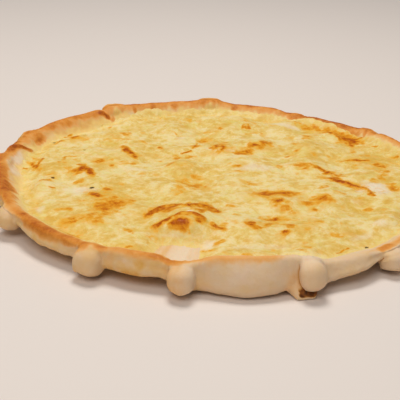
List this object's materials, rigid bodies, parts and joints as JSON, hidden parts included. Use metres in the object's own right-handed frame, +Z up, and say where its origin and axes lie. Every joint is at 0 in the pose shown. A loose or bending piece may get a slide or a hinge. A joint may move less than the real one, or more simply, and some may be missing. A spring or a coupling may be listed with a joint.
{
  "type": "cheese manakish",
  "caption": "Round flat bread with a raised rim pinched into knobs, filled with a layer of melted, browned cheese.",
  "frame": {"origin": "on the flat the bread rests on, at the centre of its outer box", "axes": "+Z up; -Y towards the front, where the rim is tallest; +X to the right"},
  "size_m": [0.2778, 0.2852, 0.0192],
  "materials": {
    "crust": "baked bread: pale cream dough, golden to orange-brown along the top of the rim, matt and finely rough",
    "cheese": "melted white and yellow cheese, soft and lumpy, with golden-brown blisters and a faint greasy shine"
  },
  "bodies": {
    "root": {"crust": "crust", "cheese": "cheese"}
  },
  "joints": []
}
